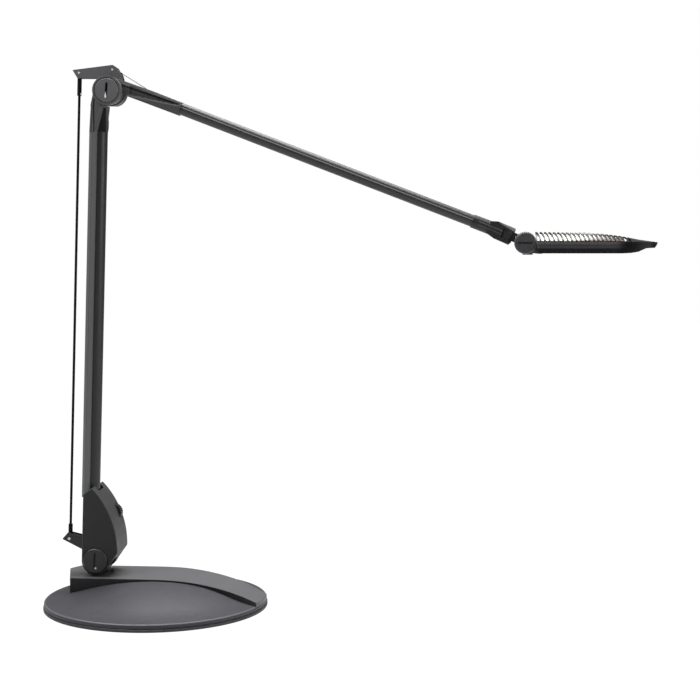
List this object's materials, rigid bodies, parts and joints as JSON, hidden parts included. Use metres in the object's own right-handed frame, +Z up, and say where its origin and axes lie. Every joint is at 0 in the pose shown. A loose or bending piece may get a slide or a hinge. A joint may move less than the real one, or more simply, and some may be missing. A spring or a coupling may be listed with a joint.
{
  "type": "desk lamp",
  "caption": "Balanced-arm desk lamp: round weighted base, tilting lower arm with a parallel link rod, slanted upper arm and a slim ribbed lamp head.",
  "frame": {"origin": "centre of the base's underside, on the table", "axes": "+X toward the lamp head, +Y toward the back, +Z up"},
  "size_m": [0.6474, 0.238, 0.5773],
  "materials": {
    "rubber_pad": "matt black rubber",
    "base_plate": "fine textured dark grey paint",
    "iron_weight": "raw casting",
    "base_paint": "fine textured warm grey paint",
    "crest_paint": "fine textured grey paint",
    "steel": "plain steel",
    "jack": "black moulded plastic",
    "dark_paint": "fine textured dark grey paint",
    "housing": "moulded dark grey plastic",
    "tube_paint": "satin grey paint",
    "cap": "moulded dark grey plastic",
    "wheel": "moulded plastic with a notched edge",
    "board": "green board with small parts",
    "head_paint": "satin black grey paint",
    "reflector": "satin bright aluminium",
    "diffuser": "milky plastic",
    "chrome": "bright chrome",
    "wire": "dark twisted steel"
  },
  "bodies": {
    "base": {"base_pad": "rubber_pad", "base_plate": "base_plate", "base_weight": "iron_weight", "base_dome": "base_paint", "crest": "crest_paint", "base_screws": "steel", "power_inlet": "jack"},
    "turret": {"turret_post": "dark_paint", "swivel_washer": "steel", "swivel_nut": "steel", "link_bracket": "dark_paint", "bracket_pin": "steel"},
    "lower_arm": {"housing_near": "housing", "housing_far": "housing", "housing_screws": "steel", "lower_yoke": "steel", "lower_washers": "steel", "lower_axle": "steel", "lower_cap_far": "cap", "dimmer_board": "board", "lower_tube": "tube_paint", "lower_spring": "steel", "elbow_fork": "dark_paint", "elbow_axle": "steel", "elbow_cap_far": "cap"},
    "foot_screw": {"lower_cap_near": "cap"},
    "dimmer": {"dimmer_wheel": "wheel"},
    "link": {"link_rod": "steel", "rod_ends": "dark_paint"},
    "crank": {"crank_plate": "dark_paint", "crank_pins": "steel", "wire_anchor": "steel"},
    "elbow_screw": {"elbow_cap_near": "cap"},
    "upper_arm": {"upper_connector": "dark_paint", "elbow_washers": "steel", "upper_tube": "tube_paint", "wire_guide": "jack", "upper_spring": "steel", "spring_plug": "steel", "balance_wire": "wire", "head_fork": "dark_paint", "neck_pin": "steel"},
    "neck": {"neck_block": "dark_paint", "tilt_washers": "steel"},
    "head": {"head_frame": "head_paint", "head_tray": "head_paint", "head_screws": "steel", "rib_grille": "head_paint", "reflector": "reflector", "light_board": "board", "diffuser": "diffuser", "tilt_axle": "steel", "tilt_cap_far": "cap"},
    "tilt_knob": {"tilt_knob": "cap", "knob_washer": "chrome"}
  },
  "joints": [
    {"name": "base_swivel", "type": "hinge", "parent": "base", "child": "turret", "pos_m": [-0.0691, 0.0335, 0.027], "axis": [0, 0, 1], "range_deg": [-170, 170]},
    {"name": "lower_arm_pivot", "type": "hinge", "parent": "turret", "child": "lower_arm", "pos_m": [-0.0691, 0.0335, 0.0441], "axis": [0, 1, 0], "range_deg": [-15, 40]},
    {"name": "link_rod_foot", "type": "hinge", "parent": "turret", "child": "link", "pos_m": [-0.1028, 0.0335, 0.0643], "axis": [0, 1, 0], "range_deg": [-15, 40]},
    {"name": "crank_pivot", "type": "hinge", "parent": "lower_arm", "child": "crank", "pos_m": [-0.05211, 0.0335, 0.54897], "axis": [0, 1, 0], "range_deg": [-40, 15]},
    {"name": "upper_arm_pivot", "type": "hinge", "parent": "crank", "child": "upper_arm", "pos_m": [-0.05211, 0.0335, 0.54897], "axis": [0, 1, 0], "range_deg": [-45, 30], "deforming": ["balance_wire"]},
    {"name": "neck_yaw", "type": "hinge", "parent": "upper_arm", "child": "neck", "pos_m": [0.37026, 0.0335, 0.39516], "axis": [0.3599, 0, 0.933], "range_deg": [-80, 80]},
    {"name": "head_tilt", "type": "hinge", "parent": "neck", "child": "head", "pos_m": [0.39078, 0.0335, 0.38725], "axis": [0, 1, 0], "range_deg": [-45, 60]},
    {"name": "dimmer_turn", "type": "hinge", "parent": "lower_arm", "child": "dimmer", "pos_m": [-0.05833, 0.0335, 0.09076], "axis": [0, 1, 0], "range_deg": [0, 270]},
    {"name": "foot_screw_turn", "type": "hinge", "parent": "lower_arm", "child": "foot_screw", "pos_m": [-0.0691, 0.0335, 0.0441], "axis": [0, 1, 0], "range_deg": [-90, 90]},
    {"name": "elbow_screw_turn", "type": "hinge", "parent": "lower_arm", "child": "elbow_screw", "pos_m": [-0.05211, 0.0335, 0.54897], "axis": [0, 1, 0], "range_deg": [-90, 90]},
    {"name": "tilt_knob_turn", "type": "hinge", "parent": "head", "child": "tilt_knob", "pos_m": [0.39078, 0.0335, 0.38725], "axis": [0, 1, 0], "range_deg": [-90, 90]}
  ],
  "couplings": [
    {"joint": "link_rod_foot", "follows": "lower_arm_pivot", "ratio": 1},
    {"joint": "crank_pivot", "follows": "lower_arm_pivot", "ratio": -1}
  ]
}
